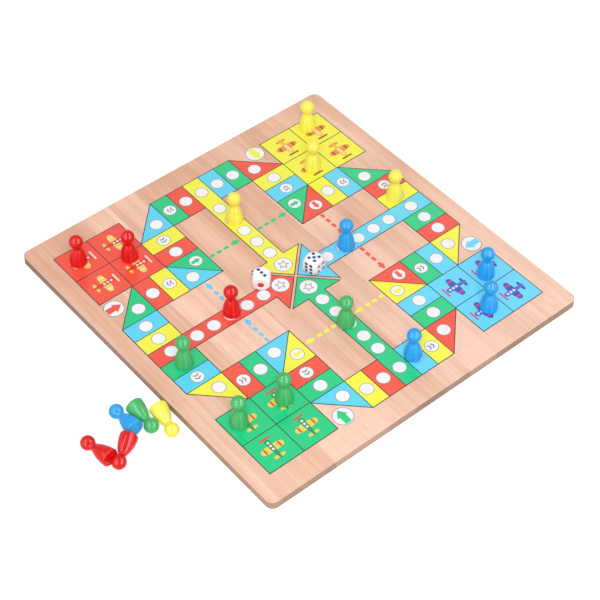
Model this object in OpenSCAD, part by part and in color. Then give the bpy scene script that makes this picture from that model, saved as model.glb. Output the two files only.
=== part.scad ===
/* [Board] */
// Width of one track field, the step that the whole printed track is laid out on
cell = 14; // [12.5:0.5:18]
// Bare wood between the track and the board's left and right edges
margin_x = 13; // [8:0.5:30]
// Bare wood between the track and the board's front and back edges
margin_y = 17.5; // [8:0.5:30]
// Thickness of the wooden panel
board_t = 6.6; // [3:0.1:12]
// Radius of the panel's four corners
corner_r = 5.5; // [4:0.5:12]
// Round-over along the panel's upper and lower edges
edge_r = 0.4; // [0.3:0.1:1.4]

/* [Print] */
// Thickness of the ink on the wood
ink_t = 0.1; // [0.05:0.05:0.3]
// Width of the dark lines round the printed fields
line_w = 0.6; // [0.3:0.1:1.2]
// Diameter of the white spot in a field
spot_d = 9.2; // [5:0.2:10]
// Distance of a spot from the two sides at the square corner of a three-cornered field
wedge_spot = 8.7; // [7.5:0.1:9.2]
// Distance from the middle of the board to the back of a finish arrowhead
finish_reach = 22; // [21:0.5:23]
// Bare strip between two finish arrowheads
finish_gap = 2.2; // [1.8:0.1:4]
// Diameter of the white spot in a finish arrowhead
finish_d = 12.3; // [9:0.1:13]
// Distance of that spot from the middle of the board
finish_spot = 13.4; // [12.5:0.1:14]
// How far a home stays inside the outer reach of the track
home_inset = 1.4; // [0:0.1:10]
// Diameter of the white start disc beside a home
start_d = 13.6; // [9:0.2:15.4]
// Distance of a flight line from the outer corner of the fields that it joins
flight_inset = 12; // [8:0.5:16]
// Clear space at each end of a flight line
flight_gap = 1; // [0.8:0.1:2]
// Length of a dash in a flight line
dash_l = 3.8; // [2:0.1:5]
// Space between two dashes
dash_gap = 2.2; // [1:0.1:3]
// Width of a dash
dash_w = 2.4; // [1:0.1:3]
// Length of a flight line's arrowhead
dart_l = 5; // [4:0.1:7]
// Width of a flight line's arrowhead
dart_w = 5; // [3.5:0.1:6]
// Length of the shaft behind that arrowhead
dart_tail = 2.4; // [1:0.1:4]

/* [Pawns] */
// Height of a pawn
pawn_h = 25; // [21:0.5:30]
// Diameter of a pawn's foot
foot_d = 12.2; // [10:0.2:14]
// Diameter of a pawn's head
head_d = 9.8; // [8:0.2:10.6]
// Diameter of a pawn's neck
neck_d = 5.6; // [3.4:0.2:6.4]
// Radius of the hollow curve between body and head
neck_r = 3.2; // [2.5:0.1:5]
// Round-over of the foot's rim
rim_r = 0.7; // [0.3:0.1:1.2]
// Gap between the board and the nearest of the pawns lying beside it
aside_gap = 0.9; // [0.5:0.1:20]
// Gap between neighbours among those pawns
lie_gap = 0.4; // [0.3:0.1:3]
// Gap between the two pawns that lie furthest out and the others
stray_gap = 1.5; // [0.5:0.1:20]

/* [Dice] */
// Side of a die
die_s = 12; // [10:0.5:16]
// How far the ball that rounds a die's corners stands beyond its faces
die_crown = 1.8; // [1.2:0.1:2.4]
// Diameter of a pip
pip_d = 2.5; // [1.4:0.1:3]
// Diameter of the single large pip of the one
ace_d = 4.4; // [3:0.1:5]
// Depth of a pip
pip_depth = 0.35; // [0.2:0.05:0.6]
// Distance of the corner pips from a face's two middle lines
pip_off = 2.4; // [2:0.1:3]
// Distance between two pips in a row of three on the six
six_step = 3.2; // [2.6:0.1:3.4]
// Distance of the six's two rows from the middle line
six_off = 2; // [1.5:0.1:2.4]

/* [Hidden] */
$fn = 64;

// Reach of the track's ring lines: the arm's half width, then one field length further each time
field_l = 2 * cell;
arm = 2.5 * cell;
ring_1 = arm + field_l;
ring_2 = ring_1 + field_l;
ring_3 = ring_2 + field_l;
board_x = 2 * (ring_3 + margin_x);
board_y = 2 * (ring_3 + margin_y);
home_side = (ring_3 - ring_1 - home_inset) / 2;
ink_top = board_t + ink_t;
half_line = line_w / 2;

// Fields of one quarter of the track, counted round it: the lane's own field and a flight's first field
FIELDS = 13;
LANE_FIELD = 3;
FLIGHT_FIELD = 9;
LANE_SPOTS = [2 : 6];

// The inks in the order in which their fields follow each other round the track
INKS = [
    ["blue_print", "#6ad6ff"],
    ["yellow_print", "#fff34a"],
    ["red_print", "#ff5a55"],
    ["green_print", "#3fd287"]
];
BLUE = 0;
YELLOW = 1;
RED = 2;
GREEN = 3;
PLASTICS = ["#2d96f5", "#faf046", "#dc1e28", "#4bb964"];

// Pawns on the board: name, colour and place in track steps from the middle of the board
STANDING = [
    ["red_pawn_1", RED, [-7.56, 7.46]],
    ["red_pawn_2", RED, [-5.46, 6.13]],
    ["red_pawn_3", RED, [-3.86, 0.1]],
    ["yellow_pawn_1", YELLOW, [7.23, 7.8]],
    ["yellow_pawn_2", YELLOW, [5.48, 5.28]],
    ["yellow_pawn_3", YELLOW, [7.28, 1]],
    ["yellow_pawn_4", YELLOW, [0.1, 4.89]],
    ["blue_pawn_1", BLUE, [3.16, -0.04]],
    ["blue_pawn_2", BLUE, [7.1, -5.81]],
    ["blue_pawn_3", BLUE, [5.7, -7.47]],
    ["blue_pawn_4", BLUE, [0.93, -7.38]],
    ["green_pawn_1", GREEN, [-7.49, -0.98]],
    ["green_pawn_2", GREEN, [-7.7, -5.34]],
    ["green_pawn_3", GREEN, [-5.31, -5.59]],
    ["green_pawn_4", GREEN, [-0.14, -3.87]]
];

// Dice: name, place in track steps, turn, and the numbers on the upper, left and front faces
DICE = [
    ["left_die", [-1.63, 0.59], -45, [3, 5, 1]],
    ["right_die", [0.94, -0.24], 12.5, [5, 6, 4]]
];

// An arc's points after its first one
function arc(centre, r, from, to, steps) =
    [for (i = [1 : steps]) let (a = from + (to - from) * i / steps) centre + r * [cos(a), sin(a)]];

// A bar drawn in by m on every side, or let out where m is negative
function bar(x0, y0, x1, y1, m) =
    [[x0 + m, y0 + m], [x1 - m, y0 + m], [x1 - m, y1 - m], [x0 + m, y1 - m]];

// A point turned about the origin
function turned(p, a) = [p.x * cos(a) - p.y * sin(a), p.x * sin(a) + p.y * cos(a)];

// A right-angled field turned about its corner, drawn in by m or let out where m is negative
function wedge(corner, turn, m) =
    let (
        tip = field_l - m * (1 + sqrt(2)),
        bevel = -m / sqrt(2),
        drawn_in = [[m, m], [tip, m], [m, tip]],
        let_out = [[m, m], [field_l, m], [field_l + bevel, bevel], [bevel, field_l + bevel], [m, field_l]]
    )
    [for (p = m > 0 ? drawn_in : let_out) corner + turned(p, turn)];

// The square corner of a three-cornered field and the turn of its legs
function wedge_at(f) =
    f == 0 ? [[-arm, -ring_2], 180] :
    f == 6 ? [[arm, -ring_2], -90] :
    f == 9 ? [[arm, -ring_1], 0] :
    f == 10 ? [[ring_1, -arm], 180] : undef;

// The lower left and upper right corners of a straight field
function bar_at(f) =
    f < 6 ? [(f - 3.5) * cell, -ring_3, (f - 2.5) * cell, -ring_2] :
    f < 9 ? [arm, -ring_2 + (f - 7) * cell, ring_1, -ring_2 + (f - 6) * cell] :
    [ring_1 + (f - 11) * cell, -ring_1, ring_1 + (f - 10) * cell, -arm];

// Outline of field f of the first quarter, drawn in by m
function field(f, m) =
    let (w = wedge_at(f), b = bar_at(f))
    w == undef ? bar(b[0], b[1], b[2], b[3], m) : wedge(w[0], w[1], m);

// Middle of the spot in field f
function spot(f) =
    let (w = wedge_at(f), b = bar_at(f))
    w == undef ? [b[0] + b[2], b[1] + b[3]] / 2 : w[0] + turned([wedge_spot, wedge_spot], w[1]);

// Outline of a lane from the track to the tip of its finish arrowhead, drawn in by m
function lane(m) =
    let (
        side = cell / 2 - m,
        back = finish_reach - m,
        tip = finish_gap / sqrt(2) + m * sqrt(2)
    )
    [
        [side, m - ring_3], [side, -back], [back - tip, -back], [0, -tip],
        [tip - back, -back], [-side, -back], [-side, m - ring_3]
    ];

// Outline of one of the four squares of a home, drawn in by m
function home_square(i, j, m) =
    let (x = ring_1 + i * home_side, y = ring_1 + j * home_side)
    bar(-x - home_side, -y - home_side, -x, -y, m);

// Spots along a lane, in its finish arrowhead, and the start disc, each with its diameter
function lane_spots() =
    concat([[spot(LANE_FIELD), spot_d]], [for (n = LANE_SPOTS) [[0, -n * cell], spot_d]],
        [[[0, -finish_spot], finish_d]]);

// A start disc reaches out as far as the track, with the same gap to its home and to the field beside it
start_r = start_d / 2;
start_gap = (field_l - start_r * (2 + sqrt(2))) / (1 + sqrt(2));
start_spot = [start_r + start_gap - ring_1, start_r - ring_3];

// Pawn outline: foot rim, swelling body, hollow neck and round head, each arc meeting the next smoothly
foot_r = foot_d / 2;
head_r = head_d / 2;
head_z = pawn_h - head_r;
neck_x = neck_d / 2 + neck_r;
neck_c = [neck_x, head_z - sqrt(pow(head_r + neck_r, 2) - pow(neck_x, 2))];
swell_in = neck_x - foot_r;
swell_r = (pow(swell_in, 2) + pow(neck_c.y - rim_r, 2) - pow(neck_r, 2)) / (2 * (neck_r - swell_in));
swell_c = [foot_r - swell_r, rim_r];
shoulder = atan2(neck_c.y - swell_c.y, neck_c.x - swell_c.x);
nape = atan2(neck_c.y - head_z, neck_c.x);
pawn_outline = concat(
    [[0, 0], [foot_r - rim_r, 0]],
    arc([foot_r - rim_r, rim_r], rim_r, -90, 0, 4),
    arc(swell_c, swell_r, 0, shoulder, 10),
    arc(neck_c, neck_r, 180 + shoulder, 180 + nape, 8),
    arc([0, head_z], head_r, nape, 90, 14)
);

// Radius of a pawn at a height, and nothing beyond its two ends
pawn_rings = [for (p = pawn_outline) if (p.x > 0) [p.y, p.x]];
function pawn_r(z) = z < 0 || z > pawn_h ? 0 : lookup(z, concat(pawn_rings, [[pawn_h, 0]]));

// A lying pawn rests on its body and its head, which dips its axis by this angle
lie_dip = asin((swell_r - head_r) / norm([swell_c.x, head_z - rim_r])) + atan2(swell_c.x, head_z - rim_r);
lie_z = head_z * sin(lie_dip) + head_r;

// How far aside a pawn has to lie to clear the one before it, starting along it and turned from it
function beside(along, turn) =
    max([
        for (z = [0 : pawn_h / 40 : pawn_h], s = [-1 : 0.1 : 1])
        let (r = s * pawn_r(z))
        z * sin(turn) + r * cos(turn) + pawn_r(along + z * cos(turn) - r * sin(turn))
    ]);

// Place and heading of a pawn that lies to the right of the one before it, or to its left where side is -1
function lay(before, along, turn, side, gap) =
    let (away = side * (beside(along, side * turn) + gap), h = before[2])
    [before[0] + along * cos(h) + away * sin(h), before[1] + along * sin(h) - away * cos(h), h + turn];

// Pawns beside the board, from the edge outwards: place of the foot and heading of the head
yellow_lies = [-board_x / 2 - aside_gap - foot_r, -2.22 * cell, -100.6];
green_lies = lay(yellow_lies, -0.36 * pawn_h, 8, 1, lie_gap);
blue_lies = lay(green_lies, 0.68 * pawn_h, 184, 1, lie_gap);
red_in_lies = lay(blue_lies, -0.15 * foot_d, 124, -1, stray_gap);
red_out_lies = lay(red_in_lies, head_z - 0.13 * head_r, -115, 1, lie_gap);
LYING = [
    ["yellow_pawn_5", YELLOW, yellow_lies],
    ["green_pawn_5", GREEN, green_lies],
    ["blue_pawn_5", BLUE, blue_lies],
    ["red_pawn_4", RED, red_in_lies],
    ["red_pawn_5", RED, red_out_lies]
];

// Section of the panel's rounded edge, from one corner radius inside it
module edge_section() {
    polygon(concat(
        [[0, 0], [corner_r - edge_r, 0]],
        arc([corner_r - edge_r, edge_r], edge_r, -90, 0, 4),
        [[corner_r, board_t - edge_r]],
        arc([corner_r - edge_r, board_t - edge_r], edge_r, 0, 90, 4),
        [[0, board_t]]
    ));
}

// The wooden panel: a flat middle with the edge section run along its sides and turned round its corners
module board_panel() {
    color("#e8c0a2") {
        translate([corner_r - board_x / 2, corner_r - board_y / 2, 0])
            cube([board_x - 2 * corner_r, board_y - 2 * corner_r, board_t]);
        for (q = [0 : 3]) {
            across = q % 2 == 0 ? board_x : board_y;
            side = q % 2 == 0 ? board_y : board_x;
            rotate(90 * q)
                translate([across / 2 - corner_r, side / 2 - corner_r, 0]) {
                    rotate([90, 0, 0])
                        linear_extrude(side - 2 * corner_r)
                            edge_section();
                    rotate_extrude(angle = 90)
                        edge_section();
                }
        }
    }
}

// Lays a flat design on the panel as a film of ink
module ink() {
    translate([0, 0, board_t])
        linear_extrude(ink_t)
            children();
}

// A printed shape with its spots left open
module printed(outline, spots) {
    difference() {
        polygon(outline);
        for (s = spots) translate(s[0]) circle(d = s[1]);
    }
}

// Dashed line across a lane, with an arrowhead before the lane and another at its end
module flight_line() {
    stretch = arm - cell / 2;
    dash_step = dash_l + dash_gap;
    arrow_l = dart_l + dart_tail;
    dashes = floor((stretch - 2 * flight_gap - arrow_l) / dash_step);
    for (from = [arm, -cell / 2])
        translate([from - flight_gap, flight_inset - ring_1]) {
            for (i = [0 : dashes - 1])
                translate([-i * dash_step - dash_l, -dash_w / 2]) square([dash_l, dash_w]);
            translate([2 * flight_gap - stretch, 0])
                polygon([
                    [0, 0], [dart_l, -dart_w / 2], [dart_l, -dash_w / 2], [arrow_l, -dash_w / 2],
                    [arrow_l, dash_w / 2], [dart_l, dash_w / 2], [dart_l, dart_w / 2]
                ]);
        }
}

// One ink: its fields, lane, home and flight line, a quarter turn further for each side of the board
module colour_print(c) {
    color(INKS[c][1])
        ink()
            for (k = [0 : 3]) rotate(90 * k) {
                for (f = [0 : FIELDS - 1])
                    if (f != LANE_FIELD && (f + k) % 4 == c)
                        printed(field(f, half_line), [[spot(f), spot_d]]);
                if ((LANE_FIELD + k) % 4 == c) {
                    printed(lane(half_line), lane_spots());
                    for (i = [0, 1], j = [0, 1]) polygon(home_square(i, j, half_line));
                }
                if ((FLIGHT_FIELD + k) % 4 == c) flight_line();
            }
}

// The white spots of the fields, lanes and arrowheads, and the four start discs
module white_print() {
    color("#fdfdfd")
        ink()
            for (k = [0 : 3]) rotate(90 * k) {
                for (f = [0 : FIELDS - 1])
                    if (f != LANE_FIELD) translate(spot(f)) circle(d = spot_d);
                for (s = lane_spots()) translate(s[0]) circle(d = s[1]);
                translate(start_spot) circle(d = start_d);
            }
}

// Every field, lane and home square of the board, drawn in by m
module all_fields(m) {
    for (k = [0 : 3]) rotate(90 * k) {
        for (f = [0 : FIELDS - 1])
            if (f != LANE_FIELD) polygon(field(f, m));
        polygon(lane(m));
        for (i = [0, 1], j = [0, 1]) polygon(home_square(i, j, m));
    }
}

// The dark lines round the fields, lanes and home squares
module outline_print() {
    color("#3c4a3c")
        ink()
            difference() {
                all_fields(-half_line);
                all_fields(half_line);
            }
}

// Places of the pips of a number on a face, from its middle
function pips(n) =
    n == 1 ? [[0, 0]] :
    n == 2 ? [[-pip_off, pip_off], [pip_off, -pip_off]] :
    n == 3 ? concat(pips(2), pips(1)) :
    n == 4 ? concat(pips(2), [for (p = pips(2)) [-p.x, p.y]]) :
    n == 5 ? concat(pips(4), pips(1)) :
    [for (i = [-1 : 1], s = [-1, 1]) [i * six_step, s * six_off]];

// The hollows of one number, cut into the face above the die's middle
module number(n) {
    half = (n == 1 ? ace_d : pip_d) / 2;
    ball_r = (pow(half, 2) + pow(pip_depth, 2)) / (2 * pip_depth);
    for (p = pips(n))
        translate([p.x, p.y, die_s / 2 + ball_r - pip_depth]) sphere(ball_r);
}

// A die: a cube rounded by a ball, with hollow pips and opposite faces adding up to seven
module die(up, left, front) {
    difference() {
        intersection() {
            cube(die_s, center = true);
            sphere(die_s / 2 + die_crown);
        }
        number(up);
        rotate([180, 0, 0]) number(7 - up);
        rotate([0, -90, 0]) number(left);
        rotate([0, 90, 0]) number(7 - left);
        rotate([90, 0, 0]) number(front);
        rotate([-90, 0, 0]) number(7 - front);
    }
}

// A die where it lies on the board
module die_piece(d) {
    color("#f6f6f2")
        translate([d[1].x * cell, d[1].y * cell, ink_top + die_s / 2])
            rotate(d[2])
                die(d[3][0], d[3][1], d[3][2]);
}

// A pawn on its foot
module pawn() {
    rotate_extrude()
        polygon(pawn_outline);
}

// A pawn that stands on the board
module standing_pawn(p) {
    color(PLASTICS[p[1]])
        translate([p[2].x * cell, p[2].y * cell, ink_top])
            pawn();
}

// A pawn that lies on the table beside the board
module lying_pawn(p) {
    color(PLASTICS[p[1]])
        translate([p[2][0], p[2][1], lie_z])
            rotate([0, 90 + lie_dip, p[2][2]])
                pawn();
}

board_panel();
for (c = [BLUE : GREEN]) colour_print(c);
white_print();
outline_print();
for (d = DICE) die_piece(d);
for (p = STANDING) standing_pawn(p);
for (p = LYING) lying_pawn(p);
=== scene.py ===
import math

import bmesh
import bpy
from mathutils import Matrix, Vector


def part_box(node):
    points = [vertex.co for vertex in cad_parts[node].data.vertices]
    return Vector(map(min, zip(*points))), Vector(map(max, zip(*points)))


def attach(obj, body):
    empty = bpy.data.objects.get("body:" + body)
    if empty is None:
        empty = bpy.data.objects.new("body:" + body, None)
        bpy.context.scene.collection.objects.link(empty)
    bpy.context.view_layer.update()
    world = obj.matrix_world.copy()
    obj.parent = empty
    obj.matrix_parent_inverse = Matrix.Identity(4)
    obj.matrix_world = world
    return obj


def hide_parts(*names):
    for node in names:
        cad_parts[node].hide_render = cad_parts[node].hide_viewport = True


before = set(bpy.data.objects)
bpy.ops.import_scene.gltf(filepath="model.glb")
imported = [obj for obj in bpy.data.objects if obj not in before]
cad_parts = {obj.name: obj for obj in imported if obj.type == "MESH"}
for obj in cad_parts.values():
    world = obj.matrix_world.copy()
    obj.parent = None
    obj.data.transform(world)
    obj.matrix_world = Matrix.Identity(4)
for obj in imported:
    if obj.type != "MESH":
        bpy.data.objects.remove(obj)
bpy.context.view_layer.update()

# Sizes are in millimetres, the frame is in metres
MM = 0.001


def corners_mm(node):
    """Lowest and highest corner of a node, in millimetres."""
    low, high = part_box(node)
    return Vector(low) / MM, Vector(high) / MM


# The panel: its size from the frame, the radii of its corners and edges, and where its layers meet
PANEL_LOW, PANEL_HIGH = corners_mm("board_panel")
BOARD_X, BOARD_Y, BOARD_T = PANEL_HIGH - PANEL_LOW
HALF_X = BOARD_X / 2
HALF_Y = BOARD_Y / 2
CORNER_R = 5.5
EDGE_R = 0.4
PLIES = (2.2, 4.4)

# The print: the top of the frame's ink, and the thickness of a film of ink on top of it
INK_TOP = corners_mm("white_print")[1].z
FILM_T = 0.02

# The track: its step, and the reach of its ring lines, one field length further each time
CELL = 14.0
FIELD_L = 2 * CELL
ARM = 2.5 * CELL
RING_1 = ARM + FIELD_L
RING_2 = RING_1 + FIELD_L
RING_3 = RING_2 + FIELD_L

# The white spots: in a field, in a three-cornered field, in a finish arrowhead and beside a home
SPOT_D = 9.2
WEDGE_SPOT = 8.7
FINISH_D = 12.3
FINISH_SPOT = 13.4
START_R = 6.8
START_GAP = (FIELD_L - START_R * (2 + math.sqrt(2))) / (1 + math.sqrt(2))

# The homes: how far they stay inside the track's reach, the side of one of their squares, and the middles
# of the squares in a row, counted in squares
HOME_INSET = 1.4
HOME_SIDE = (RING_3 - RING_1 - HOME_INSET) / 2
HOME_SQUARES = (0.5, 1.5)

# The colours in the order in which their fields follow each other round the track
COLOURS = ["blue", "yellow", "red", "green"]


def linear(r, g, b):
    """A colour given as 0 to 255 display values, in linear light."""
    out = []
    for c in (r, g, b):
        c /= 255.0
        out.append(c / 12.92 if c <= 0.04045 else ((c + 0.055) / 1.055) ** 2.4)
    return (*out, 1.0)


def toned(rgb, gain, lift=0.0):
    """A display colour in linear light, made stronger or weaker and lifted."""
    return (*[min(1, c * gain + lift) for c in linear(*rgb)[:3]], 1)


class Tree:
    """Short calls for building a node tree."""

    def __init__(self, tree):
        self.tree = tree

    def add(self, kind, inputs=None, **props):
        node = self.tree.nodes.new(kind)
        for key, value in props.items():
            setattr(node, key, value)
        for key, value in (inputs or {}).items():
            self.feed(node.inputs[key], value)
        return node

    def feed(self, socket, value):
        if isinstance(value, bpy.types.NodeSocket):
            self.tree.links.new(value, socket)
        else:
            socket.default_value = value

    def place(self):
        return self.add("ShaderNodeTexCoord").outputs["Object"]

    def attribute(self, name, output):
        return self.add("ShaderNodeAttribute", attribute_name=name).outputs[output]

    def use(self, node_group, inputs):
        return self.add("ShaderNodeGroup", inputs, node_tree=node_group).outputs

    def math(self, op, a, b=0.0, c=0.0, clamp=False):
        inputs = {0: a, 1: b, 2: c}
        return self.add("ShaderNodeMath", inputs, operation=op, use_clamp=clamp).outputs[0]

    def vectors(self, op, *inputs, output="Vector"):
        node = self.add("ShaderNodeVectorMath", dict(enumerate(inputs)), operation=op)
        return node.outputs[output]

    def parts(self, vector):
        return self.add("ShaderNodeSeparateXYZ", {0: vector}).outputs

    def noise(self, place, across, along, shift=(0, 0, 0), detail=2.0, roughness=0.5, distortion=0.0):
        """Noise with so many changes in a metre across the grain, which runs along Y, and along it."""
        drawn_out = self.vectors("MULTIPLY_ADD", place, (across, along, across), shift)
        inputs = {"Vector": drawn_out, "Scale": 1.0, "Detail": detail,
                  "Roughness": roughness, "Distortion": distortion}
        return self.add("ShaderNodeTexNoise", inputs).outputs[0]

    def swing(self, noise, weight, base):
        """A value that a noise moves up and down."""
        return self.math("MULTIPLY_ADD", self.math("SUBTRACT", noise, 0.5), weight, base)

    def span(self, value, low, high, to_low=0.0, to_high=1.0):
        inputs = {0: value, 1: low, 2: high, 3: to_low, 4: to_high}
        return self.add("ShaderNodeMapRange", inputs).outputs[0]

    def mix(self, factor, a, b):
        return self.add("ShaderNodeMix", {0: factor, 6: a, 7: b}, data_type="RGBA").outputs[2]

    def bump(self, height, strength, distance):
        inputs = {"Strength": strength, "Distance": distance, "Height": height}
        return self.add("ShaderNodeBump", inputs).outputs[0]


def group(name, inputs, outputs):
    """An empty node group with its sockets; returns the group, its tree helper and its input sockets."""
    g = bpy.data.node_groups.new(name, "ShaderNodeTree")
    for n, kind in inputs.items():
        g.interface.new_socket(n, in_out="INPUT", socket_type="NodeSocket" + kind)
    for n in outputs:
        g.interface.new_socket(n, in_out="OUTPUT", socket_type="NodeSocketFloat")
    t = Tree(g)
    return g, t, t.add("NodeGroupInput").outputs


def material(name):
    """A node material; returns it, its tree helper and the sockets of its principled shader."""
    m = bpy.data.materials.new(name)
    m.use_nodes = True
    return m, Tree(m.node_tree), m.node_tree.nodes["Principled BSDF"].inputs


# The ranges that most of a noise and most of the wood's relief keep to
NOISE_SPAN = (0.3, 0.7)
RELIEF_SPAN = (0.4, 1.2)

# The wood's figure from coarse to fine. Each layer is a noise: its changes in a metre across and along the
# grain, its detail, roughness and distortion, and its weight in the tone
FIGURE = {
    "patches": (34, 14, 1.0, 0.5, 0.4, 1.0),
    "bands": (120, 4, 2.0, 0.5, 0.6, 1.3),
    "streaks": (450, 9, 3.0, 0.6, 0.3, 1.0),
    "fibres": (2600, 45, 2.0, 0.6, 0.0, 0.7),
}
# The pores' changes in a metre across and along the grain, and the range of noise in which a pore opens
PORES = (1900, 80)
PORE_SPAN = (0.64, 0.74)
# How far a paler plank is moved across and along the figure, so that it breaks off where planks meet
PLANK_SHIFT = (53.0, 17.0)
# How much streaks and pores count in the relief beside the fibres
STREAK_RELIEF = 0.5
PORE_RELIEF = -0.6


def wood_figure():
    """Figure of planks whose grain runs along Y: tone, relief and dark pores."""
    inputs = {"Place": "Vector", "Plank": "Float"}
    g, t, sockets = group("wood_figure", inputs, ["Tone", "Relief", "Pore"])
    place = sockets["Place"]
    across, along = [t.math("MULTIPLY", sockets["Plank"], by) for by in PLANK_SHIFT]
    shift = t.add("ShaderNodeCombineXYZ", {0: across, 1: along}).outputs[0]
    tone = 0.0
    layers = {}
    for name, (*changes, detail, roughness, distortion, weight) in FIGURE.items():
        layers[name] = t.noise(place, *changes, shift, detail, roughness, distortion)
        tone = t.swing(layers[name], weight, tone)
    pore = t.span(t.noise(place, *PORES, shift, detail=1.0), *PORE_SPAN)
    relief = t.math("MULTIPLY_ADD", layers["streaks"], STREAK_RELIEF, layers["fibres"])
    relief = t.math("MULTIPLY_ADD", pore, PORE_RELIEF, relief)
    t.add("NodeGroupOutput", {"Tone": tone, "Relief": relief, "Pore": pore})
    return g


def ink_film():
    """Unevenness of printed ink: the grain that shows through it and the mottle of the press."""
    g, t, sockets = group("ink_film", {"Place": "Vector"}, ["Grain", "Mottle"])
    grain = t.noise(sockets["Place"], 900, 16, roughness=0.55)
    mottle = t.noise(sockets["Place"], 260, 260, detail=3.0, roughness=0.6)
    t.add("NodeGroupOutput", {"Grain": grain, "Mottle": mottle})
    return g


def moulded_skin():
    """Unevenness of moulded plastic: slow drift of the colour and the fine texture of the mould."""
    g, t, sockets = group("moulded_skin", {"Place": "Vector"}, ["Drift", "Fine"])
    drift = t.noise(sockets["Place"], 120, 120)
    fine = t.noise(sockets["Place"], 900, 900, roughness=0.55)
    t.add("NodeGroupOutput", {"Drift": drift, "Fine": fine})
    return g


# Heading of each painted highlight line round a pawn, in degrees, and its strength
PAINTED_HIGHLIGHTS = ((-112, 1.0), (-148, 0.6), (12, 0.4), (98, 0.5))
# Cosine of the angle at which a painted highlight line has faded out to its side
PAINTED_HIGHLIGHT_EDGE = 0.975
# Heights on a pawn between which the painted highlight lines end
PAINTED_HIGHLIGHT_END = (12.0, 16.0)


def painted_highlight_lines():
    """Painted highlights: paler lines that run down the body of a pawn, by its own coordinates in
    millimetres.
    """
    g, t, sockets = group("painted_highlight_lines", {"Own": "Vector"}, ["Line"])
    outward = t.vectors("NORMALIZE", t.vectors("MULTIPLY", sockets["Own"], (1, 1, 0)))
    line = 0.0
    for degrees, strength in PAINTED_HIGHLIGHTS:
        heading = (math.cos(math.radians(degrees)), math.sin(math.radians(degrees)), 0)
        along = t.math("ABSOLUTE", t.vectors("DOT_PRODUCT", outward, heading, output="Value"))
        line = t.math("ADD", t.span(along, PAINTED_HIGHLIGHT_EDGE, 1.0, 0.0, strength), line)
    line = t.math("MULTIPLY", line, t.span(t.parts(sockets["Own"])[2], *PAINTED_HIGHLIGHT_END, 1.0, 0.0))
    t.add("NodeGroupOutput", {"Line": line})
    return g


WOOD_FIGURE = wood_figure()
INK_FILM = ink_film()
MOULDED_SKIN = moulded_skin()
PAINTED_HIGHLIGHT_GROUP = painted_highlight_lines()


def painted_falloff(t, place, drift, value, clamp=False):
    """Painted light: a value that changes by drift from the middle of the board to its +X and its +Y edge,
    so that a colour is paler where more light is painted and darker where painted shade falls.
    """
    x, y = t.parts(place)[:2]
    value = t.math("MULTIPLY_ADD", x, drift[0] / (HALF_X * MM), value)
    return t.math("MULTIPLY_ADD", y, drift[1] / (HALF_Y * MM), value, clamp)


# Right-hand side of each plank, from the middle of the board, and how pale the plank is
PLANKS = [(-109, 0.42), (-81, 0.43), (-60, 0.88), (-37, 0.86), (-14, 0.44), (9.5, 0.22),
          (16.5, 0.5), (33, 0.35), (56, 0.78), (81, 0.48), (104, 0.58), (132, 0.55)]
# How much the pores show, and the lines where two layers of the panel meet
PORE_SHOW = 0.35
PLY_SHOW = 0.55
# Distances from such a line within which it is full and beyond which it is gone
PLY_CORE = 0.05
PLY_EDGE = 0.25


def plank_tone(t, place):
    """How pale the plank at a place is, a value that changes only where two planks meet."""
    x = t.parts(place)[0]
    ramp = t.add("ShaderNodeValToRGB", {0: t.span(x, -HALF_X * MM, HALF_X * MM)})
    ramp.color_ramp.interpolation = "CONSTANT"
    steps = ramp.color_ramp.elements
    while len(steps) < len(PLANKS):
        steps.new(0.5)
    left = -HALF_X
    for step, (right, pale) in zip(steps, PLANKS):
        step.position = left / BOARD_X + 0.5
        step.color = (pale, pale, pale, 1)
        left = right
    return t.add("ShaderNodeSeparateColor", {0: ramp.outputs[0]}).outputs[0]


def wood(name, dark, pale, pore, rough, contrast, drift, plies=()):
    """Lacquered wood with painted light, paler or darker by drift along X and Y; plies are heights at
    which layers meet.
    """
    m, t, shader = material(name)
    place = t.place()
    plank = plank_tone(t, place)
    figure = t.use(WOOD_FIGURE, {"Place": place, "Plank": plank})
    # Painted light: the tone is made paler or darker across the board by drift
    tone = painted_falloff(t, place, drift, plank)
    tone = t.math("MULTIPLY_ADD", figure["Tone"], contrast, tone, clamp=True)
    colour = t.mix(tone, linear(*dark), linear(*pale))
    colour = t.mix(t.math("MULTIPLY", figure["Pore"], PORE_SHOW), colour, linear(*pore))
    for ply in plies:
        off = t.math("ABSOLUTE", t.math("SUBTRACT", t.parts(place)[2], ply * MM))
        line = t.span(off, PLY_CORE * MM, PLY_EDGE * MM, PLY_SHOW, 0.0)
        colour = t.mix(line, colour, linear(*pore))
    t.feed(shader["Base Color"], colour)
    t.feed(shader["Roughness"], t.span(figure["Relief"], *RELIEF_SPAN, rough + 0.06, rough - 0.05))
    t.feed(shader["Normal"], t.bump(figure["Relief"], strength=0.15, distance=0.08 * MM))
    shader["Specular IOR Level"].default_value = 0.28
    return m


# Ink: the middle of its tone between deep and pale, and the near white that it turns to towards +X
INK_TONE = 0.6
WHITENING_TINT = (238, 238, 240)


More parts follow.
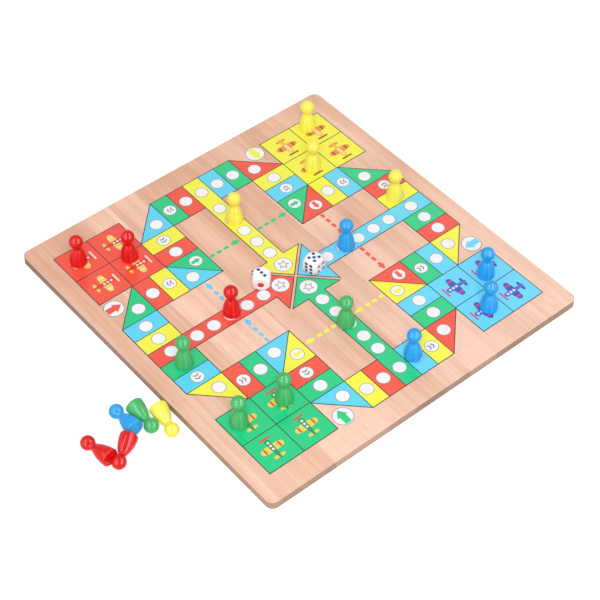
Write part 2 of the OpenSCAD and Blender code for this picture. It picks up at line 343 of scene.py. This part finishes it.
def ink(name, rgb, show=0.05, whitening=0.0, drift=(0, 0)):
    """Ink with a trace of the grain and of the press, paler towards +X, with painted light that makes it
    paler or darker by drift along X and Y.
    """
    m, t, shader = material(name)
    place = t.place()
    layer = t.use(INK_FILM, {"Place": place})
    tone = t.swing(layer["Grain"], show * 2, INK_TONE)
    tone = t.math("MULTIPLY_ADD", layer["Mottle"], show, tone)
    # Painted light: the ink's tone is made paler or darker across the board by drift
    tone = painted_falloff(t, place, drift, tone, clamp=True)
    colour = t.mix(tone, toned(rgb, gain=0.8), toned(rgb, gain=1.04, lift=0.01))
    if whitening:
        whitened = t.span(t.parts(place)[0], -HALF_X / 2 * MM, HALF_X * MM, 0.0, whitening)
        colour = t.mix(whitened, colour, linear(*WHITENING_TINT))
    t.feed(shader["Base Color"], colour)
    t.feed(shader["Roughness"], t.span(layer["Mottle"], *NOISE_SPAN, to_low=0.15, to_high=0.26))
    t.feed(shader["Normal"], t.bump(layer["Grain"], strength=0.1, distance=0.04 * MM))
    shader["Specular IOR Level"].default_value = 0.42
    return m


def plastic(name, rgb, deep):
    """Glossy moulded plastic of a pawn, with painted highlight lines down its body."""
    m, t, shader = material(name)
    skin = t.use(MOULDED_SKIN, {"Place": t.place()})
    line = t.use(PAINTED_HIGHLIGHT_GROUP, {"Own": t.attribute("own_place", "Vector")})["Line"]
    colour = t.mix(t.span(skin["Drift"], *NOISE_SPAN), linear(*deep), linear(*rgb))
    # Painted highlight: along the lines the colour turns to a paler copy of itself
    t.feed(shader["Base Color"], t.mix(line, colour, toned(rgb, gain=1.08, lift=0.014)))
    t.feed(shader["Roughness"], t.span(skin["Fine"], *NOISE_SPAN, to_low=0.12, to_high=0.21))
    t.feed(shader["Normal"], t.bump(skin["Fine"], strength=0.004, distance=0.03 * MM))
    shader["Specular IOR Level"].default_value = 0.19
    return m


# Paint of the pips, by the attribute of the die's mesh that says how far inside a pip a point lies
PIP_PAINTS = {"dark_pip": (34, 40, 112), "red_pip": (212, 30, 52)}
# Half the width of the paint's soft edge
PIP_SOFT = 0.03


def die_plastic():
    """White plastic with painted pips."""
    m, t, shader = material("die_plastic")
    skin = t.use(MOULDED_SKIN, {"Place": t.place()})
    colour = t.mix(t.span(skin["Drift"], *NOISE_SPAN), linear(242, 243, 247), linear(249, 250, 253))
    for attribute, paint in PIP_PAINTS.items():
        inside = t.span(t.attribute(attribute, "Fac"), -PIP_SOFT, PIP_SOFT)
        colour = t.mix(inside, colour, linear(*paint))
    t.feed(shader["Base Color"], colour)
    t.feed(shader["Roughness"], t.span(skin["Fine"], *NOISE_SPAN, to_low=0.2, to_high=0.28))
    t.feed(shader["Normal"], t.bump(skin["Fine"], strength=0.04, distance=0.03 * MM))
    return m


# The panel's top, its sides along the grain and its ends across the grain. Each drift is painted light:
# the top is paler towards +X and -Y, the sides are darker towards +Y and the ends are darker towards +X
WOOD = wood("board_wood", dark=(221, 171, 143), pale=(251, 208, 186), pore=(182, 133, 109),
            rough=0.42, contrast=0.95, drift=(0.09, -0.24))
SIDE = wood("board_edge", dark=(132, 104, 87), pale=(190, 157, 138), pore=(112, 86, 71),
            rough=0.6, contrast=0.5, drift=(0, -0.45), plies=PLIES)
END = wood("board_end_grain", dark=(150, 121, 104), pale=(200, 165, 145), pore=(120, 94, 78),
           rough=0.65, contrast=0.5, drift=(-0.2, 0), plies=PLIES)
# Painted light on the inks: paler towards +X and towards -Y
INK_PAINTED_FALLOFF = (0.08, -0.14)
INKS = [ink("blue_ink", (92, 216, 254), whitening=0.07, drift=INK_PAINTED_FALLOFF),
        ink("yellow_ink", (255, 247, 68), whitening=0.015, drift=INK_PAINTED_FALLOFF),
        ink("red_ink", (255, 86, 66), whitening=0.012, drift=INK_PAINTED_FALLOFF),
        ink("green_ink", (20, 208, 133), whitening=0.035, drift=INK_PAINTED_FALLOFF)]
WHITE_INK = ink("white_ink", (248, 247, 251), show=0.02)
LINE_INK = ink("line_ink", (36, 42, 33), show=0.04)
RING_INK = ink("ring_ink", (136, 138, 146), show=0.04)
MARK_INK = ink("mark_ink", (146, 146, 152), show=0.04)
WINDOW_INK = ink("window_ink", (248, 248, 248), show=0.02)
PLASTICS = [plastic("blue_plastic", (46, 165, 241), (37, 156, 232)),
            plastic("yellow_plastic", (251, 239, 93), (247, 232, 82)),
            plastic("red_plastic", (223, 23, 23), (213, 17, 17)),
            plastic("green_plastic", (78, 184, 109), (68, 175, 100))]
DIE_PLASTIC = die_plastic()


def piece(name, bm, materials, body, angle=35):
    """A mesh piece that rides on a body, shaded smoothly except at edges sharper than angle."""
    bmesh.ops.recalc_face_normals(bm, faces=bm.faces[:])
    me = bpy.data.meshes.new(name)
    bm.to_mesh(me)
    bm.free()
    for m in materials:
        me.materials.append(m)
    me.polygons.foreach_set("use_smooth", [True] * len(me.polygons))
    me.set_sharp_from_angle(angle=math.radians(angle))
    o = bpy.data.objects.new(name, me)
    bpy.context.scene.collection.objects.link(o)
    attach(o, body)
    return o


def arc(centre, r, start, end, steps):
    """Points of an arc, both ends included, angles in degrees."""
    angles = [math.radians(start + (end - start) * i / steps) for i in range(steps + 1)]
    return [(centre[0] + r * math.cos(a), centre[1] + r * math.sin(a)) for a in angles]


def disc(centre, r, steps=48):
    """Points of a circle."""
    return arc(centre, r, 0, 360 - 360 / steps, steps - 1)


def turned(points, degrees, shift=(0, 0)):
    """Points turned about the origin, then moved."""
    c, s = math.cos(math.radians(degrees)), math.sin(math.radians(degrees))
    return [(x * c - y * s + shift[0], x * s + y * c + shift[1]) for x, y in points]


def thicken(bm, faces, height):
    """Flat faces extruded straight up."""
    raised = bmesh.ops.extrude_face_region(bm, geom=faces)["geom"]
    top = [v for v in raised if isinstance(v, bmesh.types.BMVert)]
    bmesh.ops.translate(bm, vec=(0, 0, height * MM), verts=top)


def film(bm, outline, holes=(), low=INK_TOP, paint=0):
    """A printed shape, one film of ink thick."""
    edges = []
    for ring in (outline, *holes):
        verts = [bm.verts.new((x * MM, y * MM, low * MM)) for x, y in ring]
        edges += [bm.edges.new((verts[i - 1], verts[i])) for i in range(len(verts))]
    filled = bmesh.ops.triangle_fill(bm, edges=edges, use_beauty=True)["geom"]
    flat = [f for f in filled if isinstance(f, bmesh.types.BMFace)]
    for f in flat:
        f.material_index = paint
    thicken(bm, flat, FILM_T)


# Height of a face's normal above which it looks like the top, and below which like the underside
TOP_SLOPE = 0.6
UNDERSIDE_SLOPE = -0.99


def board():
    """The wooden panel: a rounded rectangle with softened edges."""
    hx, hy = HALF_X - CORNER_R, HALF_Y - CORNER_R
    outline = []
    for q, (sx, sy) in enumerate(((1, 1), (-1, 1), (-1, -1), (1, -1))):
        outline += arc((sx * hx, sy * hy), CORNER_R, 90 * q, 90 * q + 90, steps=12)
    bm = bmesh.new()
    base = bm.faces.new([bm.verts.new((x * MM, y * MM, 0)) for x, y in outline])
    thicken(bm, [base], BOARD_T)
    rims = [e for e in bm.edges if abs(e.verts[0].co.z - e.verts[1].co.z) < EDGE_R * MM]
    bmesh.ops.bevel(bm, geom=rims, offset=EDGE_R * MM, segments=5, profile=0.5,
                    affect="EDGES", material=-1)
    bmesh.ops.recalc_face_normals(bm, faces=bm.faces[:])
    finishes = [WOOD, SIDE, END]
    for f in bm.faces:
        flat = f.normal.z > TOP_SLOPE or f.normal.z < UNDERSIDE_SLOPE
        upright = END if abs(f.normal.y) > abs(f.normal.x) else SIDE
        f.material_index = finishes.index(WOOD if flat else upright)
    o = piece("board_panel_wood", bm, finishes, "board", angle=40)
    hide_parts("board_panel")
    o.modifiers.new("even_shading", "WEIGHTED_NORMAL").keep_sharp = True


board()

# The print of the frame gets its inks
PRINTS = {colour + "_print": own_ink for colour, own_ink in zip(COLOURS, INKS)}
PRINTS |= {"white_print": WHITE_INK, "outline_print": LINE_INK}
for node, own_ink in PRINTS.items():
    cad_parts[node].material_slots[0].material = own_ink

# Fields of one quarter, counted round the track: the lane's own field, the field where the track turns in,
# and the two kinds of field that a flight line joins
FIELDS = 13
LANE_FIELD = 3
CORNER_FIELD = 6
FLIGHT_FIELD = 9
LANDING_FIELD = 10
LANE_SPOTS = range(2, 7)
# The square corner of each three-cornered field and the turn of its legs
WEDGES = {
    0: ((-ARM, -RING_2), 180),
    CORNER_FIELD: ((ARM, -RING_2), -90),
    FLIGHT_FIELD: ((ARM, -RING_1), 0),
    LANDING_FIELD: ((RING_1, -ARM), 180),
}


def spot(f, k):
    """Middle of the spot in field f of quarter k."""
    if f in WEDGES:
        corner, turn = WEDGES[f]
        p = turned([(WEDGE_SPOT, WEDGE_SPOT)], turn, corner)[0]
    elif f < CORNER_FIELD:
        p = ((f - LANE_FIELD) * CELL, -(RING_2 + RING_3) / 2)
    elif f < FLIGHT_FIELD:
        p = ((ARM + RING_1) / 2, -RING_2 + (f - CORNER_FIELD - 0.5) * CELL)
    else:
        p = (RING_1 + (f - LANDING_FIELD - 0.5) * CELL, -(ARM + RING_1) / 2)
    return turned([p], 90 * k)[0]


def lane_spot(n, k):
    """Middle of the spot n steps from the middle of the board in the lane of quarter k."""
    return turned([(0, -n * CELL)], 90 * k)[0]


def finish_spot(k):
    """Middle of the spot in the finish arrowhead of quarter k."""
    return turned([(0, -FINISH_SPOT)], 90 * k)[0]


def start_spot(k):
    """Middle of the start disc beside the home of quarter k."""
    return turned([(START_R + START_GAP - RING_1, START_R - RING_3)], 90 * k)[0]


# How far the line round a spot reaches past the spot's edge, and inside it
RING_OUT = 0.28
RING_IN = 0.12


def rings():
    """The thin grey line round every white spot."""
    spots = []
    for k in range(4):
        spots += [(spot(f, k), SPOT_D / 2) for f in range(FIELDS)]
        spots += [(lane_spot(n, k), SPOT_D / 2) for n in LANE_SPOTS]
        spots += [(finish_spot(k), FINISH_D / 2), (start_spot(k), START_R)]
    bm = bmesh.new()
    for p, r in spots:
        film(bm, disc(p, r + RING_OUT), [disc(p, r - RING_IN)])
    piece("spot_rings", bm, [RING_INK], "board")


def arrow(length, shaft, head, head_l):
    """An arrow along +X, its middle at the origin."""
    back, tip, neck = -length / 2, length / 2, length / 2 - head_l
    upper = [(tip, 0), (neck, head / 2), (neck, shaft / 2), (back, shaft / 2)]
    return upper + [(x, -y) for x, y in reversed(upper[1:])]


START_ARROW = arrow(length=12.0, shaft=4.8, head=8.4, head_l=5.8)
FLIGHT_ARROW = arrow(length=7.2, shaft=2.6, head=4.8, head_l=3.3)


def arrows():
    """Arrows in the start discs and at the ends of the flight lines, except the blue one's."""
    for c, colour in enumerate(COLOURS):
        bm = bmesh.new()
        for k in range(4):
            if (LANE_FIELD + k) % 4 == c:
                film(bm, turned(START_ARROW, 90 * k + 90, start_spot(k)))
            if (FLIGHT_FIELD + k) % 4 == c and colour != "blue":
                for p in (spot(FLIGHT_FIELD, k), spot(LANDING_FIELD, k + 3)):
                    film(bm, turned(FLIGHT_ARROW, 90 * k + 180, p))
        piece(colour + "_arrows", bm, [INKS[c]], "board")


# A chevron that points along +X, and the places of a pair of them
CHEVRON = [(0, 0), (-1.3, 2.1), (-0.2, 2.1), (1.2, 0), (-0.2, -2.1), (-1.3, -2.1)]
CHEVRONS_AT = (-1.5, 1.1)
# Reach of a star's points and of the notches between them, on the outside and inside of its line
STAR_OUTSIDE = (4.2, 2.0)
STAR_INSIDE = (2.9, 1.35)
# The fields with chevrons, counted round the whole track
MARKED_FIELDS = (5, 11, 18, 20, 24, 31, 33, 37, 44, 46, 50)


def chevrons(bm, p, turn):
    """A pair of grey chevrons in a spot."""
    for dx in CHEVRONS_AT:
        film(bm, turned([(x + dx, y) for x, y in CHEVRON], turn, p))


def star(bm, p, turn):
    """A grey five-pointed star in a finish spot."""
    def points(reach):
        corners = [turned([(reach[i % 2], 0)], 36 * i)[0] for i in range(10)]
        return turned(corners, turn, p)
    film(bm, points(STAR_OUTSIDE), [points(STAR_INSIDE)])


def marks():
    """The grey marks in the track's spots and in the finish spots."""
    bm = bmesh.new()
    for n in MARKED_FIELDS:
        k, f = divmod(n, FIELDS)
        inward = CORNER_FIELD <= f < FLIGHT_FIELD
        chevrons(bm, spot(f, k), 90 * k + (90 if inward else 0))
    for k in range(4):
        star(bm, finish_spot(k), 90 * k + 90)
    piece("grey_marks", bm, [MARK_INK], "board")


rings()
arrows()
marks()


def both_sides(half):
    """An outline from its right-hand half, which runs from the nose end to the tail end."""
    return half + [(-x, y) for x, y in reversed(half) if abs(x) > 1e-6]


# Aeroplanes in the homes, seen from above with the nose along +Y
WING = both_sides([(0, 3.6)] + arc((5.6, 0.6), 1.9, 65, -90, 10) + [(0, -1.9)])
TAIL = both_sides([(0, -4.6)] + arc((2.7, -5.7), 0.9, 75, -90, 6) + [(0, -6.9)])
FUSELAGE = both_sides(arc((0, 5.4), 1.7, 90, 0, 10) + [(1.6, 0.5)] + arc((0, -6.9), 0.7, 0, -90, 5))
PROPELLER = both_sides([(0, 8.6)] + arc((3.2, 8.0), 0.6, 90, -90, 8) + [(0, 7.4)])
STRIPE = [(4.3, 2.6), (5.4, 2.4), (5.4, -1.2), (4.3, -1.3)]
STRIPES = [STRIPE, [(-x, y) for x, y in STRIPE]]
WINDOWS = [disc((0, y), 0.8, steps=20) for y in (4.7, 2.3, -0.1)]
PLANE_SIZE = 1.15
# What is printed together: its outlines, its ink in the livery, and the films of ink that lie under it
PLANE_LAYERS = [
    ([WING, TAIL], 0, 0),
    ([FUSELAGE], 1, 1),
    ([PROPELLER, *STRIPES], 2, 1),
    (WINDOWS, 3, 2),
]
# Colours of the aeroplanes in each home: wings, fuselage, stripes and propeller
LIVERY = {
    "blue": [(74, 84, 188), (92, 108, 206), (226, 74, 116)],
    "yellow": [(240, 146, 70), (246, 196, 66), (160, 66, 40)],
    "red": [(238, 214, 96), (226, 52, 48), (250, 232, 190)],
    "green": [(250, 212, 84), (40, 158, 96), (226, 72, 80)],
}


def aeroplane(bm, turn, p):
    """One printed aeroplane with its middle at p."""
    for outlines, paint, under in PLANE_LAYERS:
        for outline in outlines:
            sized = [(x * PLANE_SIZE, y * PLANE_SIZE) for x, y in outline]
            film(bm, turned(sized, turn, p), low=INK_TOP + under * FILM_T, paint=paint)


def home_aeroplanes():
    """An aeroplane in each of the four squares of each home."""
    for k in range(4):
        colour = COLOURS[(LANE_FIELD + k) % 4]
        parts = zip(("wing", "body", "trim"), LIVERY[colour])
        inks = [ink(f"{colour}_home_{part}", rgb) for part, rgb in parts]
        bm = bmesh.new()
        for i in HOME_SQUARES:
            for j in HOME_SQUARES:
                middle = (-RING_1 - i * HOME_SIDE, -RING_1 - j * HOME_SIDE)
                aeroplane(bm, 90 * k, turned([middle], 90 * k)[0])
        piece(colour + "_home_aeroplanes", bm, inks + [WINDOW_INK], "board")


home_aeroplanes()

# Pawns: foot rim, swelling body, hollow neck and round head, each arc meeting the next smoothly
PAWN_H = 25.0
FOOT_R = 6.1
HEAD_R = 4.9
HEAD_Z = PAWN_H - HEAD_R
# Half the neck's width, and the radius of its hollow
NECK_HALF = 2.8
NECK_R = 3.2
RIM_R = 0.7
PAWN_SIDES = 72
# Headings, in degrees, of the pawns that lie beside the board
LYING = {"yellow_pawn_5": -100.6, "green_pawn_5": -92.6, "blue_pawn_5": 91.4,
         "red_pawn_4": 215.4, "red_pawn_5": 100.4}


def pawn_profile():
    """The outline of a pawn and the angle by which its axis dips when it lies."""
    # The neck's hollow touches the head, and the body's swell touches that hollow and the foot's rim
    nx = NECK_HALF + NECK_R
    nz = HEAD_Z - math.sqrt((HEAD_R + NECK_R) ** 2 - nx ** 2)
    a, h = nx - FOOT_R, nz - RIM_R
    swell_r = (a * a + h * h - NECK_R ** 2) / (2 * (NECK_R - a))
    swell = (FOOT_R - swell_r, RIM_R)
    shoulder = math.degrees(math.atan2(nz - swell[1], nx - swell[0]))
    nape = math.degrees(math.atan2(nz - HEAD_Z, nx))
    points = [(0, 0), (FOOT_R * 0.5, 0)] + arc((FOOT_R - RIM_R, RIM_R), RIM_R, -90, 0, steps=6)
    points += arc(swell, swell_r, 0, shoulder, steps=22)[1:]
    points += arc((nx, nz), NECK_R, 180 + shoulder, 180 + nape, steps=16)[1:]
    points += arc((0, HEAD_Z), HEAD_R, nape, 90, steps=26)[1:]
    rise = HEAD_Z - RIM_R
    dip = math.asin((swell_r - HEAD_R) / math.hypot(swell[0], rise)) + math.atan2(swell[0], rise)
    return points, dip


PROFILE, DIP = pawn_profile()
# The pawns and dice, the only pieces in which the strips of light show
MOULDINGS = bpy.data.collections.new("mouldings")


def moulding(node, bm, plastic_used, angle):
    """A pawn or a die in place of its node."""
    o = piece(node + "_moulding", bm, [plastic_used], node, angle)
    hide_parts(node)
    MOULDINGS.objects.link(o)


def pawn_mesh():
    """A pawn on its foot at the origin; its points keep their own places, for the painted highlight lines.
    """
    bm = bmesh.new()
    verts = [bm.verts.new((x * MM, 0, z * MM)) for x, z in PROFILE]
    edges = [bm.edges.new(pair) for pair in zip(verts, verts[1:])]
    bmesh.ops.spin(bm, geom=verts + edges, cent=(0, 0, 0), axis=(0, 0, 1), dvec=(0, 0, 0),
                   angle=2 * math.pi, steps=PAWN_SIDES, use_merge=True)
    bmesh.ops.remove_doubles(bm, verts=bm.verts[:], dist=0.001 * MM)
    own = bm.verts.layers.float_vector.new("own_place")
    for v in bm.verts:
        v[own] = v.co / MM
    return bm


def pawn(colour, node):
    """A pawn in the box of its node, on its foot or lying."""
    bm = pawn_mesh()
    if node in LYING:
        heading = Matrix.Rotation(math.radians(LYING[node]), 4, "Z")
        lie = heading @ Matrix.Rotation(math.pi / 2 + DIP, 4, "Y")
        bmesh.ops.transform(bm, matrix=lie, verts=bm.verts[:])
    low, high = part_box(node)
    for axis in range(3):
        at = [v.co[axis] for v in bm.verts]
        shift = Vector((0, 0, 0))
        shift[axis] = (low[axis] + high[axis] - min(at) - max(at)) / 2
        bmesh.ops.translate(bm, vec=shift, verts=bm.verts[:])
    moulding(node, bm, PLASTICS[COLOURS.index(colour)], angle=40)


for colour in COLOURS:
    for n in range(1, 6):
        pawn(colour, f"{colour}_pawn_{n}")

# Dice: a cube rounded by a ball that stands beyond its faces, with hollow painted pips
DIE_HALF = 6.0
DIE_CROWN = 1.8
DIE_BALL = DIE_HALF + DIE_CROWN
# Width over which face and ball pass into each other, and cuts along an edge of the cube
DIE_BLEND = 0.7
DIE_CUTS = 59
PIP_R = 1.25
ACE_R = 2.2
PIP_DEPTH = 0.35
PIP_OFF = 2.4
SIX_STEP = 3.2
SIX_OFF = 2.0
RED_NUMBERS = (1, 4)
# What the attribute of a paint holds on a face without that paint
BARE = -1.0
# Turns that bring the top face to the top, the underside, the left, the right, the front and the back
FACE_TURNS = [("X", 0), ("X", 180), ("Y", -90), ("Y", 90), ("X", 90), ("X", -90)]


def pips(number):
    """Places of a number's pips on its face."""
    two = [(-PIP_OFF, PIP_OFF), (PIP_OFF, -PIP_OFF)]
    four = two + [(-x, y) for x, y in two]
    six = [(i * SIX_STEP, s * SIX_OFF) for i in (-1, 0, 1) for s in (-1, 1)]
    return {1: [(0, 0)], 2: two, 3: two + [(0, 0)], 4: four, 5: four + [(0, 0)], 6: six}[number]


def least(a, b, blend):
    """The smaller of two values, with a soft change from one to the other."""
    h = min(1.0, max(0.0, 0.5 + 0.5 * (b - a) / blend))
    return b + (a - b) * h - blend * h * (1 - h)


def die(node, yaw, up, left, front):
    """A die with three of its numbers given; opposite faces add up to seven."""
    bm = bmesh.new()
    bmesh.ops.create_cube(bm, size=2 * DIE_HALF)
    bmesh.ops.subdivide_edges(bm, edges=bm.edges[:], cuts=DIE_CUTS, use_grid_fill=True)
    paint = {name: bm.verts.layers.float.new(name) for name in PIP_PAINTS}
    faces = []
    for number, (axis, degrees) in zip((up, 7 - up, left, 7 - left, front, 7 - front), FACE_TURNS):
        turn = Matrix.Rotation(math.radians(degrees), 3, axis)
        faces.append((turn, turn.transposed(), number))
    for v in bm.verts:
        turn, back, number = max(faces, key=lambda face: (face[1] @ v.co).z)
        reach = v.co.length
        v.co *= least(reach, DIE_BALL, DIE_BLEND) / reach
        on_face = back @ v.co
        r = ACE_R if number == 1 else PIP_R
        inside = max(r - math.hypot(on_face.x - x, on_face.y - y) for x, y in pips(number))
        for name in paint:
            painted = (name == "red_pip") == (number in RED_NUMBERS)
            v[paint[name]] = inside if painted else BARE
        if inside > 0:
            on_face.z -= PIP_DEPTH * (1 - ((r - inside) / r) ** 2)
            v.co = turn @ on_face
    low, high = corners_mm(node)
    middle = Matrix.Translation((low + high) / 2 * MM)
    place = middle @ Matrix.Rotation(math.radians(yaw), 4, "Z") @ Matrix.Scale(MM, 4)
    bmesh.ops.transform(bm, matrix=place, verts=bm.verts[:])
    moulding(node, bm, DIE_PLASTIC, angle=60)


die("left_die", yaw=-45, up=3, left=5, front=1)
die("right_die", yaw=12.5, up=5, left=6, front=4)

# Half the floor's side, in metres, its depth below the object, and the light it shows to the camera
FLOOR_HALF = 3.0
FLOOR_DROP = 0.2
FLOOR_GLOW = 0.5
# Light of the world on the object; to the camera and in gloss it shows as white
WORLD_LIGHT = 0.75


def seen(t):
    """1 for what the camera sees, straight or in gloss, and 0 for the light on the object."""
    ray = t.add("ShaderNodeLightPath").outputs
    return t.math("MAXIMUM", ray["Is Camera Ray"], ray["Is Glossy Ray"])


def floor():
    """A wide sheet of pale paper."""
    bm = bmesh.new()
    bmesh.ops.create_grid(bm, x_segments=1, y_segments=1, size=FLOOR_HALF)
    bmesh.ops.translate(bm, vec=(0, 0, -FLOOR_DROP * MM), verts=bm.verts[:])
    me = bpy.data.meshes.new("floor")
    bm.to_mesh(me)
    bm.free()
    o = bpy.data.objects.new("floor", me)
    bpy.context.scene.collection.objects.link(o)
    m, t, shader = material("floor_paper")
    speck = t.noise(t.place(), 30, 30)
    t.feed(shader["Base Color"], t.mix(speck, (0.88, 0.88, 0.88, 1), (0.9, 0.9, 0.9, 1)))
    shader["Roughness"].default_value = 0.9
    shader["Specular IOR Level"].default_value = 0.1
    shader["Emission Color"].default_value = (1, 1, 1, 1)
    t.feed(shader["Emission Strength"], t.math("MULTIPLY", seen(t), FLOOR_GLOW))
    me.materials.append(m)


# The camera: where it stands, seen from the point that it looks at, and its lens for a picture 600 wide
AZIMUTH = math.radians(-129.50)
ELEVATION = math.radians(47.80)
ROLL = math.radians(-0.21)
DISTANCE = 1123.9
TARGET = Vector((-12.04, -18.94, INK_TOP))
FOCAL_PIXELS = 1682
PICTURE_PIXELS = 600
SENSOR_W = 36

# Directions as the camera sees them: towards it, to its right and up its picture
TO_CAMERA = Vector((math.cos(ELEVATION) * math.cos(AZIMUTH),
                    math.cos(ELEVATION) * math.sin(AZIMUTH),
                    math.sin(ELEVATION)))
RIGHT = (-TO_CAMERA).cross(Vector((0, 0, 1))).normalized()
UP = RIGHT.cross(-TO_CAMERA)


def lamp(name, aside, distance, width, low, high, radiance):
    """A lamp, aside degrees to the right of the camera, from low to high up the picture, in metres."""
    out = TO_CAMERA * math.cos(math.radians(aside)) + RIGHT * math.sin(math.radians(aside))
    d = bpy.data.lights.new(name, "AREA")
    d.shape = "RECTANGLE"
    d.size, d.size_y = width, high - low
    d.energy = radiance * math.pi * d.size * d.size_y
    o = bpy.data.objects.new(name, d)
    turn = Matrix((UP.cross(out), UP, out)).transposed().to_4x4()
    o.matrix_world = Matrix.Translation(out * distance + UP * (low + high) / 2) @ turn
    bpy.context.scene.collection.objects.link(o)
    return o


def gloss_lamp(name, **place):
    """A lamp that shows only as a highlight on the pawns and dice."""
    o = lamp(name, **place)
    o.visible_diffuse = False
    o.light_linking.receiver_collection = MOULDINGS


def studio():
    """The floor, an even white world, a soft fill from the front and the lamps for the highlights."""
    floor()
    w = bpy.data.worlds.new("studio")
    w.use_nodes = True
    sky = Tree(w.node_tree)
    background = w.node_tree.nodes["Background"].inputs
    background["Color"].default_value = (1, 1, 1, 1)
    sky.feed(background["Strength"], sky.span(seen(sky), 0.0, 1.0, WORLD_LIGHT, 1.0))
    bpy.context.scene.world = w
    fill = lamp("front_fill", aside=0, distance=1.6, width=0.8, low=-0.4, high=0.4, radiance=5.4)
    fill.visible_glossy = False
    gloss_lamp("right_strip", aside=35, distance=0.6, width=0.27, low=-0.5, high=0.9, radiance=10.0)
    gloss_lamp("left_strip", aside=-26, distance=2.0, width=0.6, low=-1.9, high=3.0, radiance=10.5)
    gloss_lamp("right_wash", aside=58, distance=0.8, width=0.62, low=-0.5, high=0.6, radiance=3.2)
    gloss_lamp("left_wash", aside=-52, distance=2.2, width=1.5, low=-1.6, high=1.6, radiance=3.2)


def camera():
    """The camera, which looks at the board from its front left."""
    right = RIGHT * math.cos(ROLL) + UP * math.sin(ROLL)
    up = UP * math.cos(ROLL) - RIGHT * math.sin(ROLL)
    d = bpy.data.cameras.new("camera")
    d.sensor_width = SENSOR_W
    d.lens = FOCAL_PIXELS / PICTURE_PIXELS * SENSOR_W
    d.clip_end = 10
    o = bpy.data.objects.new("camera", d)
    turn = Matrix((right, up, TO_CAMERA)).transposed().to_4x4()
    o.matrix_world = Matrix.Translation((TARGET + TO_CAMERA * DISTANCE) * MM) @ turn
    bpy.context.scene.collection.objects.link(o)
    bpy.context.scene.camera = o


studio()
camera()
bpy.context.scene.view_settings.view_transform = "Standard"
